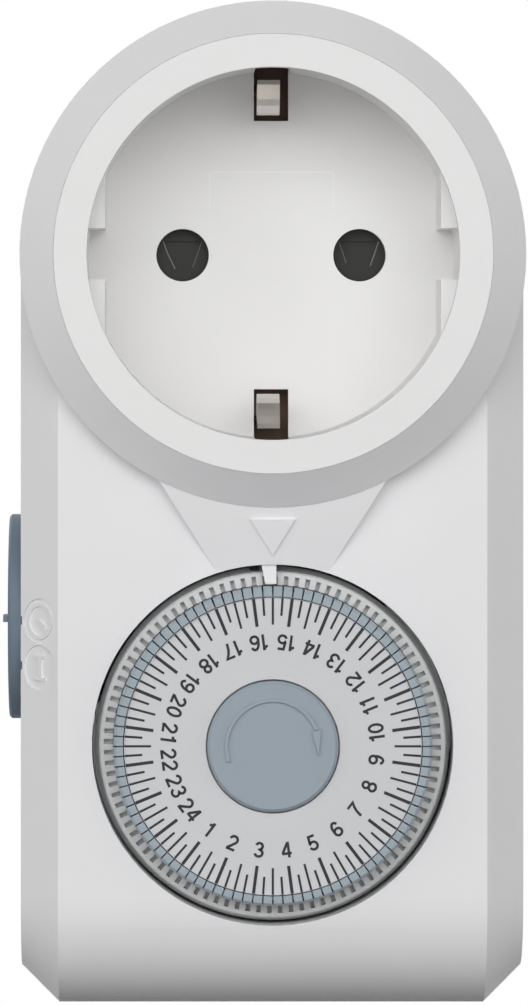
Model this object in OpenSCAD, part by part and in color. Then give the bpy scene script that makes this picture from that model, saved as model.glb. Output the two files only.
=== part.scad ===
// Plug-in 24 hour timer switch, built up from its housings, socket, plug, switch, motor, gear train and dial.
// Millimetres. The socket and plug share one axis along Y, through the origin on the rear face.
// The front looks towards -Y, the plug points to +Y and +Z is up.

/* [Housing] */
// Width of the housing, which is also the width of the round top
body_w = 53.4; // [51:0.2:60]
// Depth from the rear face to the front face
body_d = 36; // [35:0.5:42]
// Distance from the dial axis to the lower end
dial_to_end = 28.2; // [28:0.1:40]
// Thickness of the housing walls
wall = 2; // [1.6:0.1:2.4]
// Width of the 45 degree bevel along the front edges
bevel = 4; // [2.5:0.1:4.5]
// Radius of the rolled lower end
roll_r = 11.8; // [9:0.2:14]
// Depth of the rear shell, from the rear face to the seam
seam_d = 9; // [7:0.2:9.4]

/* [Socket] */
// Distance between the two pins
pin_pitch = 19; // [19:0.1:19.2]
// Diameter of a plug pin
pin_d = 4.8; // [4.6:0.05:4.9]
// Diameter of the pin holes in the socket floor
pin_hole_d = 5.65; // [5.4:0.05:6.2]
// Radius of the socket recess
recess_r = 19.6; // [19.4:0.05:19.9]
// Depth of the socket recess below its rim
recess_d = 17.5; // [17:0.1:18]
// Width of the flat rim round the recess
rim_w = 3.5; // [3:0.1:3.8]
// Height of the upright wall of the socket ring above the front face
ring_wall = 2.2; // [1.6:0.1:2.4]
// Height and width of the 45 degree cone from that wall to the flat rim
ring_h = 3.6; // [2.6:0.1:4]
// Thickness of the socket floor
floor_t = 2; // [1.6:0.1:2.2]
// Distance from the socket axis to the flat of a side block
block_flat = 17.7; // [17.4:0.1:18]
// Height of the channel between two side blocks
channel_h = 5.4; // [4.6:0.1:6]
// Depth of the side blocks' front faces below the rim
block_drop = 3; // [2:0.1:4]
// Width of an earth slot
earth_slot_w = 3.7; // [3.4:0.1:4.2]
// Distance from the socket axis to the inner end of an earth slot
earth_slot_in = 14.4; // [14.1:0.1:14.8]

/* [Plug] */
// Radius of the plug body
plug_r = 18.45; // [18:0.05:18.6]
// Length of the plug body behind the rear face
plug_len = 17.2; // [16.8:0.1:17.4]
// Length of the pins beyond the plug body
pin_len = 19; // [18.5:0.1:19]

/* [Shutter] */
// Thickness of the shutter
shutter_t = 1.8; // [1.4:0.1:2]
// Travel of the shutter
shutter_travel = 6.6; // [6.4:0.1:7]

/* [Dial] */
// Drop from the socket axis to the dial axis
dial_drop = 51.9; // [51.6:0.1:52.3]
// Radius of the printed dial face
face_r = 15.7; // [15.2:0.1:15.9]
// Radial width of a segment
segment_w = 1.02; // [0.9:0.02:1.2]
// Number of segments, one for each quarter of an hour
segment_n = 96; // [96]
// Width of a segment along the rim
segment_t = 0.92; // [0.8:0.02:0.94]
// Travel of a segment when it is pushed in
segment_travel = 2; // [1.6:0.1:2.2]
// Height of the segments above the front face
segment_proud = 2.4; // [1.6:0.1:3]
// Radial width of the toothed ring round the segments
tooth_w = 0.86; // [0.7:0.02:1]
// Radial width of the plain rim of the dial
dial_rim_w = 0.6; // [0.5:0.05:0.8]
// Gap between the dial and its well
well_gap = 0.77; // [0.6:0.05:0.9]
// Depth of the dial's toothed ring below the front face
ring_sunk = -1.3; // [-1.6:0.1:-1]
// Radius of the centre knob
knob_r = 6.9; // [6:0.05:8]
// Height of the knob above the printed face
knob_h = 0.7; // [0.4:0.1:1.2]

/* [Override] */
// Radius of the override disc on the left side
override_r = 11; // [10:0.1:11]
// Height of the override disc above the side wall
override_proud = 1.4; // [1:0.1:1.8]
// Drop from the socket axis to the override axis
override_drop = 38.9; // [38.6:0.1:39.2]
// Gap between the front bevel and the override disc
override_edge = 0.3; // [0.2:0.1:1]

/* [Gear train] */
// Module of the gears
gear_m = 0.3; // [0.3]
// Leaves of the rotor pinion and of the first three pinions
leaf_n = 8; // [8]
// Teeth of the first four wheels
wheel_n = 80; // [80]
// Leaves of the fourth pinion
fourth_leaf_n = 16; // [16]
// Teeth of the fifth wheel
fifth_wheel_n = 72; // [72]
// Leaves of the fifth pinion
last_leaf_n = 12; // [12]
// Teeth of the drive wheel under the dial
drive_n = 96; // [96]
// Thickness of a wheel
wheel_t = 0.8; // [0.6:0.1:0.9]
// Distance from one wheel of the train to the next along the axles
layer = 1.8; // [1.7:0.05:1.85]
// Radius of the gear axles
axle_r = 0.4; // [0.35:0.01:0.42]
// Radius of the dial arbor
arbor_r = 1.5; // [1.3:0.05:1.6]

/* [Motor] */
// Outer radius of the motor can
motor_r = 14.5; // [13.5:0.1:14.6]
// Gap between the motor can and the rear wall
motor_gap = 1.6; // [1.2:0.1:2.5]

/* [Fits] */
// Radial clearance of a shaft that turns in its bore
fit = 0.03; // [0.02:0.01:0.05]
// Gap between pieces that slide past each other
slide_gap = 0.07; // [0.06:0.01:0.08]

/* [Hidden] */
$fn = 64;

eps = 0.01;
plastic_white = [0.87, 0.87, 0.88];
plastic_dial = [0.79, 0.79, 0.80];
plastic_blue = [0.56, 0.62, 0.67];
plastic_black = [0.13, 0.13, 0.13];
plastic_nylon = [0.88, 0.86, 0.78];
metal_brass = [0.80, 0.64, 0.30];
metal_steel = [0.70, 0.71, 0.72];
metal_copper = [0.72, 0.42, 0.22];

// Planes along Y, from the front to the back
half_w = body_w / 2;
body_drop = dial_drop + dial_to_end;
front_y = -body_d;
rim_y = front_y - ring_wall - ring_h;
floor_y = rim_y + recess_d;
floor_back = floor_y + floor_t;
shutter_gap = 0.2;
shutter_y = floor_back + shutter_gap;
carrier_y = shutter_y + shutter_t + shutter_gap;
carrier_post = [16.4, 4.4];
seam_y = -seam_d;
inner_w = half_w - wall;

// Socket
pin_x = pin_pitch / 2;
pin_r = pin_d / 2;
pin_hole_r = pin_hole_d / 2;
contact_r = pin_r + 0.02;
contact_t = 0.5;
contact_len = 11.6;
contact_y = carrier_y + 0.3;
contact_back = contact_y + contact_len;
contact_slit = 1.2;
rim_r = recess_r + rim_w;
cup_wall = 1.6;
cup_r = recess_r + cup_wall;
rim_t = 1.5;
cable_back = -3;

// Plug
plug_wall = 1.8;
bar_t = 0.8;
plug_end = plug_len - 2;
plug_flat = block_flat - 0.6;
plug_channel = channel_h - 0.7;
plug_gap = 0.05;
plug_flange_t = 1.6;
bar_room = 3.8;
riser_x = plug_flat - plug_wall - 0.3;
pin_flange_r = 3.3;
pin_root_r = pin_r + 0.3;
pin_shoulder = 0.4;
pin_flange_t = 1.8;
pin_root = plug_end - pin_flange_t;
pin_tail = pin_root - 4;
clamp_t = 1.6;
tab_y = pin_root - clamp_t - bar_t - 0.4;
groove_w = 5;
groove_d = 1;
strap_w = 4;
strap_t = 0.7;
strap_z = plug_r - groove_d;

// Dial
dial_z = -dial_drop;
segment_front = front_y - segment_proud;
face_y = segment_front + 0.4;
face_t = 1;
segment_in = face_r + 0.02 + slide_gap;
segment_out = segment_in + segment_w;
segment_mid = (segment_in + segment_out) / 2;
tooth_in = segment_out + slide_gap;
tooth_out = tooth_in + tooth_w;
dial_r = tooth_out + dial_rim_w;
well_r = dial_r + well_gap;
collar_t = 1.2;
collar_reach = 1.2;
ring_y = front_y - ring_sunk;
slot_plate_t = 0.8;
slot_back = ring_y + 4.7;
head_len = segment_travel + 3;
head_back = segment_front + head_len;
tip_out = 0.1;
tip_back = slot_back + tip_out;
pushed_back = tip_back + segment_travel;
stem_w = 0.55;
stem_inset = 0.08;
tooth_shift = 0.83;
tooth_share = 0.42;
drum_t = 1.2;
skirt_flare = 0.45;
carrier_plate_t = 1.2;
carrier_front = face_y + face_t;
hub_r = 3;
hub_wall = 1.4;
movable_steps = [-8, -5, 5, 8];

// Train
pitch_a = gear_m * (leaf_n + wheel_n) / 2;
pitch_last = gear_m * (last_leaf_n + drive_n) / 2;
wheel_r = gear_m * (wheel_n / 2 + 0.9);
wheel_gap = 0.935;
angle_a = -acos((inner_w - wheel_r - wheel_gap) / pitch_last);
angle_b = 180;
angle_m = 115;
axis_d = [0, dial_z];
axis_a = axis_d + pitch_last * [cos(angle_a), sin(angle_a)];
axis_b = axis_a + pitch_a * [cos(angle_b), sin(angle_b)];
axis_m = axis_a + pitch_a * [cos(angle_m), sin(angle_m)];
drive_t = 1;
drive_front = pushed_back + 1.3;
drive_y = drive_front + drive_t / 2;
plate_t = 1;
front_plate_y = drive_front + drive_t + 0.5;
layer_y = [for (i = [0:4]) front_plate_y + plate_t + 1.3 + layer * (4 - i)];
rear_plate_y = layer_y[0] + 1;
motor_y = rear_plate_y + plate_t;
motor_d = -wall - motor_gap - motor_y;
pinion_reach = 0.55;
axle_fit = axle_r + fit;
boss_r = 0.75;

// Motor
can_t = 0.6;
motor_shaft_r = 0.4;
magnet_r = 6.4;
bobbin_in = 7.9;
bobbin_out = motor_r - can_t - 0.4;
coil_out = bobbin_out - 0.8;
magnet_front = motor_y + 1.6;
magnet_back = motor_y + motor_d - 2;

// Trip lever
lever_y = drive_front + 0.7;
lever_z = -cup_r - 5.76;
lever_r = 1.2;
follower_r = 0.6;
follower_x = -1.7;
follower_y = tip_back + 0.3 + follower_r;
follower_z = dial_z + sqrt(pow(segment_mid, 2) - pow(follower_x, 2));
lever_turn = 13;
arm_w = 2.6;
arm_x = -inner_w + 3.7;
arm_out = 5.2;
arm_up = 3;
arm_tip_y = lever_y + arm_out;
arm_tip_z = lever_z + arm_up;
arm_t = 1.2;

// Switch
blade_t = 0.3;
plunger_r = 1;
plunger_x = arm_x + arm_w / 2;
plunger_y = arm_tip_y - 0.4;
plunger_bottom = arm_tip_z + follower_r + 0.1;
plunger_len = 4.05;
plunger_travel = 1.05;
blade_z = plunger_bottom + plunger_len + 0.1;
live_y = -wall - plug_flange_t - bar_room;
blade_root = live_y - 1;
blade_free = plunger_y - 2.6;
blade_w = 3;
rivet_r = 0.9;
rivet_h = 0.5;
blade_rivet_y = plunger_y - 1.5;
contact_gap = 0.1;
blade_turn = asin((plunger_travel - contact_gap + 0.05) / (blade_root - plunger_y - plunger_r));
fixed_z = blade_z + (blade_t + rivet_h) * cos(blade_turn)
    + (blade_root - blade_rivet_y + rivet_r) * sin(blade_turn) + contact_gap;
load_z = fixed_z + rivet_h;
bar_x = -inner_w + 0.5;

// Override
override_y = front_y + bevel + override_r + override_edge;
override_z = -override_drop;
pocket_d = 0.8;
disc_gap = 0.1;
disc_in = -half_w + pocket_d - disc_gap;
disc_out = -half_w - override_proud;
override_shaft_r = 2;
cam_shaft_r = 1.1;
cam_arm = 3.5;
cam_tip_r = 0.8;
cam_x = -inner_w + 0.4;
cam_w = 2.4;
nub_h = 0.5;
nub_t = 0.7;
bypass_gap = 0.12;
bypass_z = override_z + cam_tip_r + bypass_gap;
bypass_root = live_y - 0.4;
bypass_free = override_y + cam_shaft_r + 0.35;
bypass_rivet_y = bypass_free + rivet_r;
override_turn = 25;
bypass_turn = asin((cam_arm * sin(override_turn) - bypass_gap + 0.08)
    / (bypass_root - override_y - cam_arm * cos(override_turn)));
bypass_fixed_z = bypass_z + (blade_t + rivet_h) * cos(bypass_turn)
    + (bypass_root - bypass_rivet_y + rivet_r) * sin(bypass_turn) + contact_gap;
bypass_load_z = bypass_fixed_z + rivet_h;

// Screws and posts
boss_post_r = 3;
screw_r = 1.1;
screw_top = [inner_w - 6.9, 13.3];
screw_low = [inner_w - 2.5, -body_drop + 4.9];
screw_places = [screw_top, [-screw_top[0], screw_top[1]], screw_low, [-screw_low[0], screw_low[1]]];
post_r = 2.2;
post_places = [[inner_w - 4.2, dial_z + 13.4], [-dial_r - post_r - 0.46, dial_z + 2.9],
    axis_b - (wheel_r + post_r + 0.43) * [cos(10), sin(10)]];
mech_screw_r = 0.9;

// ---------- shared shapes ----------

// A plan drawn in X and Z, as seen from the front, made solid from y0 back to y1
module along_y(y0, y1) {
    translate([0, y1, 0]) rotate([90, 0, 0]) linear_extrude(y1 - y0) children();
}

// A side view drawn in Y and Z, made solid from x0 to x1
module along_x(x0, x1) {
    translate([x0, 0, 0]) rotate([90, 0, 90]) linear_extrude(x1 - x0) children();
}

module rod_y(r, y0, y1, at = [0, 0]) {
    translate([at[0], y0, at[1]]) rotate([-90, 0, 0]) cylinder(r = r, h = y1 - y0);
}

module rod_x(r, x0, x1, y, z) {
    translate([x0, y, z]) rotate([0, 90, 0]) cylinder(r = r, h = x1 - x0);
}

module rod_z(r, z0, z1, x, y) {
    translate([x, y, z0]) cylinder(r = r, h = z1 - z0);
}

// A profile drawn as radius and Y, turned about an axis along Y
module turned(at = [0, 0]) {
    translate([at[0], 0, at[1]]) rotate([-90, 0, 0]) rotate_extrude() children();
}

module ring_y_axis(r_out, r_in, y0, y1, at = [0, 0]) {
    turned(at) translate([r_in, y0]) square([r_out - r_in, y1 - y0]);
}

module box_between(low, high) {
    translate(low) cube(high - low);
}

module mirrored_x() {
    children();
    mirror([1, 0, 0]) children();
}

function polar(r, a) = [r * cos(a), r * sin(a)];

// One tooth as radius and half width, from root to tip and back
function tooth_points(n) = let (p = PI * gear_m, root = gear_m * (n / 2 - 1.2), tip = gear_m * (n / 2 + 0.9))
    [[root, -0.27 * p], [tip, -0.09 * p], [tip, 0.09 * p], [root, 0.27 * p]];

module gear_plan(n, turn, at) {
    points = [for (i = [0:n - 1], t = tooth_points(n)) polar(t[0], i * 360 / n + t[1] / t[0] * 180 / PI + turn)];
    translate(at) polygon(points);
}

// A pinion's leaf points along the line of centres, and the wheel shows it a gap
module pinion(n, at, angle, y0, y1) {
    along_y(y0, y1) gear_plan(n, angle, at);
}

module wheel(n, at, angle, y_mid, t) {
    along_y(y_mid - t / 2, y_mid + t / 2) gear_plan(n, angle + 180 + 180 / n, at);
}

// A wheel with its pinion in front of it and a spacing boss behind it
module compound(at, wheel_teeth, wheel_angle, y_mid, leaves, leaf_angle, y_front, boss_back) {
    difference() {
        union() {
            wheel(wheel_teeth, at, wheel_angle, y_mid, wheel_t);
            pinion(leaves, at, leaf_angle, y_front, y_mid);
            rod_y(boss_r, y_mid, boss_back, at);
        }
        rod_y(axle_fit, y_front - 1, boss_back + 1, at);
    }
}

// A thin strip that follows points in Y and Z, made as one closed outline
function side_of(p, i, t) = let (
        a = p[max(i - 1, 0)],
        b = p[min(i + 1, len(p) - 1)],
        d = (b - a) / norm(b - a)
    ) p[i] + t * [-d[1], d[0]];

module strip_plan(p, t) {
    upper = [for (i = [0:len(p) - 1]) side_of(p, i, t / 2)];
    lower = [for (i = [len(p) - 1:-1:0]) side_of(p, i, -t / 2)];
    polygon(concat(upper, lower));
}

// A wire coil along Z, as one closed tube of flat faces
module coil_z(r, wire, z0, z1, turns, steps, sides) {
    n = turns * steps;
    function centre(i) = [r * cos(i * 360 / steps), r * sin(i * 360 / steps), z0 + (z1 - z0) * i / n];
    function ring(i) = [for (s = [0:sides - 1]) let (a = s * 360 / sides, q = r + wire * cos(a))
        [q * cos(i * 360 / steps), q * sin(i * 360 / steps), centre(i)[2] + wire * sin(a)]];
    points = [for (i = [0:n], v = ring(i)) v];
    tube = [for (i = [0:n - 1], s = [0:sides - 1]) let (b = (s + 1) % sides)
        each [[i * sides + s, (i + 1) * sides + s, (i + 1) * sides + b],
              [i * sides + s, (i + 1) * sides + b, i * sides + b]]];
    start = [for (s = [1:sides - 2]) [0, s, s + 1]];
    end = [for (s = [1:sides - 2]) [n * sides, n * sides + s + 1, n * sides + s]];
    polyhedron(points = points, faces = concat(tube, start, end));
}

// ---------- housing ----------

// The front and bevel profile in X and Y, moved in by an inset and closed at y_back
module front_profile(inset, y_back) {
    w = half_w - inset;
    b = bevel - inset * (2 - sqrt(2));
    y = front_y + inset;
    polygon([[-w, y_back], [-w, y + b], [-w + b, y], [w - b, y], [w, y + b], [w, y_back]]);
}

// The lower outline in X and Z, from the socket axis to the chamfered lower end
module lower_outline(inset) {
    w = half_w - inset;
    b = bevel - inset * (2 - sqrt(2));
    z = -body_drop + inset;
    polygon([[-w, 0], [-w, z + b], [-w + b, z], [w - b, z], [w, z + b], [w, 0]]);
}

module outline(inset) {
    circle(r = half_w - inset, $fn = 128);
    lower_outline(inset);
}

// The bevelled front rolled a quarter turn under the lower end
module lower_roll(inset) {
    r = roll_r - inset;
    w = half_w - inset;
    b = bevel - inset * (2 - sqrt(2));
    translate([0, front_y + roll_r, -body_drop + roll_r]) rotate([-90, 0, -90])
        rotate_extrude(angle = 90) polygon([[0, -w], [r - b, -w], [r, -w + b], [r, w - b], [r - b, w], [0, w]]);
}

module body_shape(inset, y_back) {
    rod_y(half_w - inset, front_y + inset, y_back);
    translate([0, 0, -body_drop + roll_r]) linear_extrude(body_drop - roll_r) front_profile(inset, y_back);
    lower_roll(inset);
    along_y(front_y + roll_r, y_back) intersection() {
        lower_outline(inset);
        translate([-body_w, -body_drop]) square([2 * body_w, roll_r + eps]);
    }
}

// The ramp's body: just under the ring's cone all round the ring, then down to the front face at the dial
module ramp_body(foot, lift) {
    high = front_y - ring_wall + 0.12 - lift;
    reach = norm(foot);
    turned() polygon([[half_w - 4, front_y + 0.5], [half_w - 4, high], [half_w, high], [reach, front_y - lift],
                      [reach, front_y + 0.5]]);
}

// The ramp between the socket ring and the dial, with the raised arrow on it
module arrow_panel() {
    top = -half_w + 3;
    foot = [6, dial_z + well_r - 0.6];
    arrow_top = dial_z + well_r + 4.8;
    intersection() {
        along_y(rim_y, front_y + 1) polygon([[-12.1, top], [12.1, top], foot, [-foot[0], foot[1]]]);
        ramp_body(foot, 0);
    }
    intersection() {
        along_y(rim_y, front_y + 1) polygon([[-2.35, arrow_top], [2.35, arrow_top], [0, arrow_top - 3.8]]);
        ramp_body(foot, 0.3);
    }
}

// The white pointer over the toothed ring, which ends at the segments
module pointer() {
    edge = dial_z + well_r + 0.5;
    tip = dial_z + tooth_in + 0.15;
    along_y(front_y + 0.05, front_y + 0.85) polygon([[-1.3, edge], [0.4, edge], [0.4, tip], [-0.75, tip]]);
}

module screw_posts(y0, y1) {
    for (p = screw_places) rod_y(boss_post_r, y0, y1, p);
}

module tongue_plan(inset) {
    difference() {
        outline(inset);
        outline(wall + 0.9);
    }
}

module front_housing() {
    color(plastic_white) difference() {
        union() {
            difference() {
                union() {
                    body_shape(0, seam_y);
                    turned() polygon([[cup_r, front_y + 1], [cup_r, rim_y + rim_t], [rim_r, rim_y + rim_t],
                                      [rim_r, rim_y], [rim_r + ring_h, rim_y + ring_h],
                                      [rim_r + ring_h, front_y + 1]]);
                }
                body_shape(wall, seam_y + 1);
            }
            arrow_panel();
            ring_y_axis(well_r + collar_t, well_r, front_y + wall - eps, slot_back + collar_reach, axis_d);
            intersection() {
                screw_posts(floor_back + 0.2, seam_y);
                body_shape(0, seam_y);
            }
            for (p = post_places) rod_y(post_r, front_y + wall - eps, front_plate_y, p);
            lever_brackets();
            // locating tongue inside the rear shell
            difference() {
                union() {
                    along_y(seam_y - 2, seam_y + 1.4) tongue_plan(wall + 0.1);
                    along_y(seam_y - 3, seam_y - 1) tongue_plan(wall - 0.1);
                }
                box_between([-body_w, seam_y - 4, bypass_z - 4], [-inner_w + 4, seam_y + 2, load_z + 9]);
            }
        }
        rod_y(cup_r, rim_y - 1, front_y + wall + 1);
        rod_y(rim_r, rim_y - 1, rim_y + rim_t);
        rod_y(well_r, front_y - 2, front_y + wall + 1, axis_d);
        for (p = screw_places) rod_y(screw_r, floor_back + 3, seam_y + 2, p);
        for (p = screw_places) rod_y(boss_post_r + 0.1, seam_y - eps, seam_y + 2, p);
        for (p = post_places) rod_y(mech_screw_r, front_plate_y - 6, front_plate_y + 1, p);
        override_openings();
        dial_notch();
    }
    color(plastic_white) difference() {
        pointer();
        rod_y(tooth_in + 0.1, front_y - 2, front_y + 2, axis_d);
    }
}

// A dark notch in the well beside the pointer, where the trip lever's guide sits
module dial_notch() {
    z = dial_z + well_r;
    box_between([-2.4, front_y + 0.9, z - 0.4], [-1.35, slot_back, z + collar_t + 0.4]);
}

// A round sunk field on the left bevel, with its symbol left standing in it
module bevel_mark(z) {
    depth = 0.2;
    translate([-half_w + bevel / 2, front_y + bevel / 2, z]) rotate([90, 0, -45]) translate([0, 0, -depth])
        linear_extrude(depth + 0.5) difference() {
            circle(r = 2.4, $fn = 64);
            children();
        }
}

module clock_symbol() {
    difference() {
        circle(r = 1.95, $fn = 64);
        circle(r = 1.57, $fn = 64);
    }
    rotate(-48) translate([-0.2, -0.19]) square([1.85, 0.38]);
}

module on_symbol() {
    translate([-0.27, -1.2]) square([0.54, 2.4]);
    for (s = [-1, 1]) translate([-0.85, s * 1.2 - 0.16]) square([1.7, 0.32]);
}

module override_openings() {
    bevel_mark(override_z) clock_symbol();
    bevel_mark(override_z - (override_r + 0.35) * sin(override_turn) - 0.15) on_symbol();
    rod_x(override_r + 0.15, -half_w - 1, -half_w + pocket_d, override_y, override_z);
    rod_x(override_shaft_r + fit, -half_w - 1, -inner_w + 1, override_y, override_z);
    mark_r = override_r + 0.35;
    for (a = [0, override_turn]) {
        y = override_y - mark_r * cos(a);
        z = override_z - mark_r * sin(a);
        box_between([-half_w - 1, front_y + bevel - 0.14, z - 0.45], [-half_w + 0.3, y + 0.6, z + 0.45]);
    }
}

// Two brackets from the front wall that carry the trip lever's shaft
module lever_brackets() {
    for (x = [-15.5, 1.2]) difference() {
        box_between([x, front_y + wall - eps, lever_z - 2], [x + 1.2, lever_y + 2, lever_z + 2]);
        rod_x(lever_r + fit, x - 1, x + 3, lever_y, lever_z);
    }
}

// Plan of the socket recess, with the two side blocks and the channel between them
module recess_plan(r, flat, channel) {
    difference() {
        circle(r = r, $fn = 128);
        mirrored_x() difference() {
            translate([flat, -r]) square([r, 2 * r]);
            translate([0, -channel / 2]) square([2 * r, channel]);
        }
    }
}

module rear_housing() {
    color(plastic_white) difference() {
        union() {
            difference() {
                along_y(seam_y, 0) outline(0);
                along_y(seam_y - 1, -wall) outline(wall);
            }
            intersection() {
                screw_posts(seam_y, -wall + eps);
                along_y(seam_y, 0) outline(0);
            }
        }
        along_y(-wall - 1, 1) recess_plan(plug_r + plug_gap, plug_flat + plug_gap, plug_channel + 2 * plug_gap);
        for (p = screw_places) rod_y(screw_r + 0.25, seam_y - 1, 1, p);
        for (p = screw_places) rod_y(2.2, -wall - 2, 1, p);
    }
}

// The round cup that carries the pins, held behind the rear wall by its flange
module plug_body() {
    color(plastic_white) difference() {
        union() {
            along_y(-wall, plug_len - 0.6) recess_plan(plug_r, plug_flat, plug_channel);
            along_y(plug_len - 0.6 - eps, plug_len) recess_plan(plug_r - 0.5, plug_flat - 0.5, plug_channel - 0.8);
            rod_y(plug_r + 2, -wall - plug_flange_t, -wall);
            // posts behind the contact carrier
            mirrored_x() rod_y(1, contact_back - 1.6, -wall - plug_flange_t + eps, carrier_post);
        }
        along_y(-wall - 2, plug_end) recess_plan(plug_r - plug_wall - groove_d, plug_flat - plug_wall, 2);
        for (s = [-1, 1]) rod_y(pin_root_r + fit, plug_end - 1, plug_len + 1, [s * pin_x, 0]);
        for (p = screw_places) rod_y(boss_post_r + 0.2, -wall - 3, -wall, p);
        for (s = [-1, 1]) earth_groove(s);
    }
}

// The groove for an earth contact along the plug body, with its way through the rear wall
module earth_groove(s) {
    z0 = s > 0 ? strap_z - 0.05 : -plug_r - 1;
    z1 = s > 0 ? plug_r + 1 : -strap_z + 0.05;
    box_between([-groove_w / 2, 0.8, z0], [groove_w / 2, plug_len - 2.2, z1]);
    y0 = -wall - 2;
    low = s > 0 ? strap_z - 0.05 : -strap_z - strap_t - 0.05;
    box_between([-strap_w / 2 - 0.1, y0, low], [strap_w / 2 + 0.1, 0.9, low + strap_t + 0.1]);
}

module housing_screws() {
    color(metal_steel) for (p = screw_places) difference() {
        union() {
            rod_y(screw_r - 0.02, floor_back + 4, -wall - 1.9, p);
            turned(p) polygon([[0, -wall - 2], [2.1, -wall - 2], [2.1, -wall - 0.9], [1.6, -wall - 0.5], [0, -wall - 0.5]]);
        }
        for (a = [0, 90]) translate([p[0], -wall - 0.5, p[1]]) rotate([0, a, 0]) cube([2.4, 1.2, 0.5], center = true);
    }
}

// ---------- socket ----------

module earth_slot_plan() {
    translate([-earth_slot_w / 2, earth_slot_in]) square([earth_slot_w, recess_r + 0.9 - earth_slot_in]);
}

module socket_insert() {
    color(plastic_white) difference() {
        union() {
            ring_y_axis(rim_r - fit, recess_r - 1, rim_y, rim_y + rim_t);
            ring_y_axis(cup_r - fit, block_flat - 0.5, rim_y + rim_t - eps, floor_back);
            rod_y(cup_r - fit, floor_y, floor_back);
            // seat of the shutter's spring, the shutter's two rails and its top stop
            box_between([-2.2, floor_back - eps, -spring_z1 - 0.8], [2.2, carrier_y, -spring_z1]);
            for (s = [-1, 1]) translate([s * (shutter_x + slide_gap + 0.6), 0, 0])
                box_between([-0.6, floor_back - eps, -shutter_half - shutter_travel], [0.6, carrier_y, shutter_half + 1]);
            box_between([-6, floor_back - eps, shutter_half + slide_gap], [6, carrier_y, shutter_half + 1]);
        }
        rod_y(recess_r, rim_y - 1, rim_y + block_drop);
        along_y(rim_y + block_drop - eps, floor_y) recess_plan(recess_r, block_flat, channel_h);
        for (s = [-1, 1]) rod_y(pin_hole_r, floor_y - 1, floor_back + 1, [s * pin_x, 0]);
        along_y(rim_y + 3, floor_back + 1) earth_slot_plan();
        along_y(rim_y + 3, floor_back + 1) mirror([0, 1]) earth_slot_plan();
    }
}

shutter_half = pin_hole_r + 0.8;
shutter_x = pin_x + pin_hole_r + 0.9;
spring_z0 = shutter_half;
spring_z1 = shutter_half + 9.4;

module shutter() {
    pocket = 0.3;
    color(plastic_black) difference() {
        union() {
            box_between([-shutter_x, shutter_y, -shutter_half], [shutter_x, shutter_y + shutter_t, shutter_half]);
            rod_z(0.5, -shutter_half - 2.4, -shutter_half + eps, 0, shutter_y + shutter_t / 2 + 0.05);
        }
        // the tapered pocket that a pin's tip runs into
        for (s = [-1, 1]) along_y(shutter_y - 1, shutter_y + pocket) translate([s * pin_x, 0])
            polygon([[-2.1, 1.5], [2.1, 1.5], [1, -1.4], [-1, -1.4]]);
    }
}

module shutter_spring() {
    color(metal_steel) translate([0, shutter_y + shutter_t / 2 + 0.05, 0])
        coil_z(0.85, 0.16, -spring_z1 + 0.2, -spring_z0 - 0.2, 7, 12, 6);
}

module contact_carrier() {
    h = contact_r + contact_t + 2.6;
    color(plastic_black) difference() {
        union() {
            box_between([-pin_x - 5, carrier_y, -h], [pin_x + 5, contact_back - 1.6, h]);
            box_between([-carrier_post[0] - 1, contact_back - 3.6, h - 2.2], [carrier_post[0] + 1, contact_back - 1.6, h]);
            // the two tongues that close the earth slots from behind
            for (s = [0, 1]) mirror([0, 0, s])
                box_between([-2.6, carrier_y, h - 2.4], [2.6, carrier_y + 1.2, recess_r + 1]);
        }
        for (s = [-1, 1]) rod_y(contact_r + contact_t + 0.05, carrier_y - 1, contact_back, [s * pin_x, 0]);
        for (s = [0, 1]) mirror([0, 0, s]) {
            box_between([-3.2, carrier_y + 1.2, h - 2.2], [3.2, contact_back, h + 1]);
            // the earth strip's slit
            box_between([-1.8, carrier_y - 1, strap_z - 0.15], [1, carrier_y + 2, strap_z + strap_t + 0.15]);
        }
    }
}

// A sprung sleeve that grips a plug pin, with one slit along it
module socket_contact(s) {
    color(metal_brass) difference() {
        ring_y_axis(contact_r + contact_t, contact_r, contact_y, contact_back, [s * pin_x, 0]);
        box_between([s * pin_x - contact_slit / 2, contact_y - 1, 0], [s * pin_x + contact_slit / 2, contact_back + 1, 4]);
    }
}

module socket_contact_left() { socket_contact(-1); }
module socket_contact_right() { socket_contact(1); }

// ---------- plug ----------

module plug_pin(s) {
    tip_y = plug_len + pin_len;
    color(metal_steel) union() {
        rod_y(pin_root_r, plug_end - eps, plug_len + pin_shoulder, [s * pin_x, 0]);
        rod_y(pin_r, plug_len, tip_y - pin_r, [s * pin_x, 0]);
        translate([s * pin_x, tip_y - pin_r, 0]) sphere(r = pin_r);
        rod_y(pin_flange_r, pin_root, plug_end, [s * pin_x, 0]);
        rod_y(1.5, pin_tail, pin_root, [s * pin_x, 0]);
    }
}

module plug_pin_left() { plug_pin(-1); }
module plug_pin_right() { plug_pin(1); }

module pin_clamp() {
    x = block_flat - 3.6;
    color(plastic_nylon) difference() {
        box_between([-x, pin_root - clamp_t, -4], [x, pin_root, 4]);
        for (s = [-1, 1]) rod_y(1.55, pin_root - clamp_t - 1, pin_root + 1, [s * pin_x, 0]);
        for (s = [-1, 1]) rod_y(1.1, pin_root - clamp_t - 1, pin_root + 1, [s * 3.5, 0]);
    }
}

module clamp_screws() {
    color(metal_steel) for (s = [-1, 1]) {
        rod_y(1.05, pin_root - clamp_t, plug_end, [s * 3.5, 0]);
        rod_y(1.9, pin_root - clamp_t - 1.2, pin_root - clamp_t, [s * 3.5, 0]);
    }
}

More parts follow.
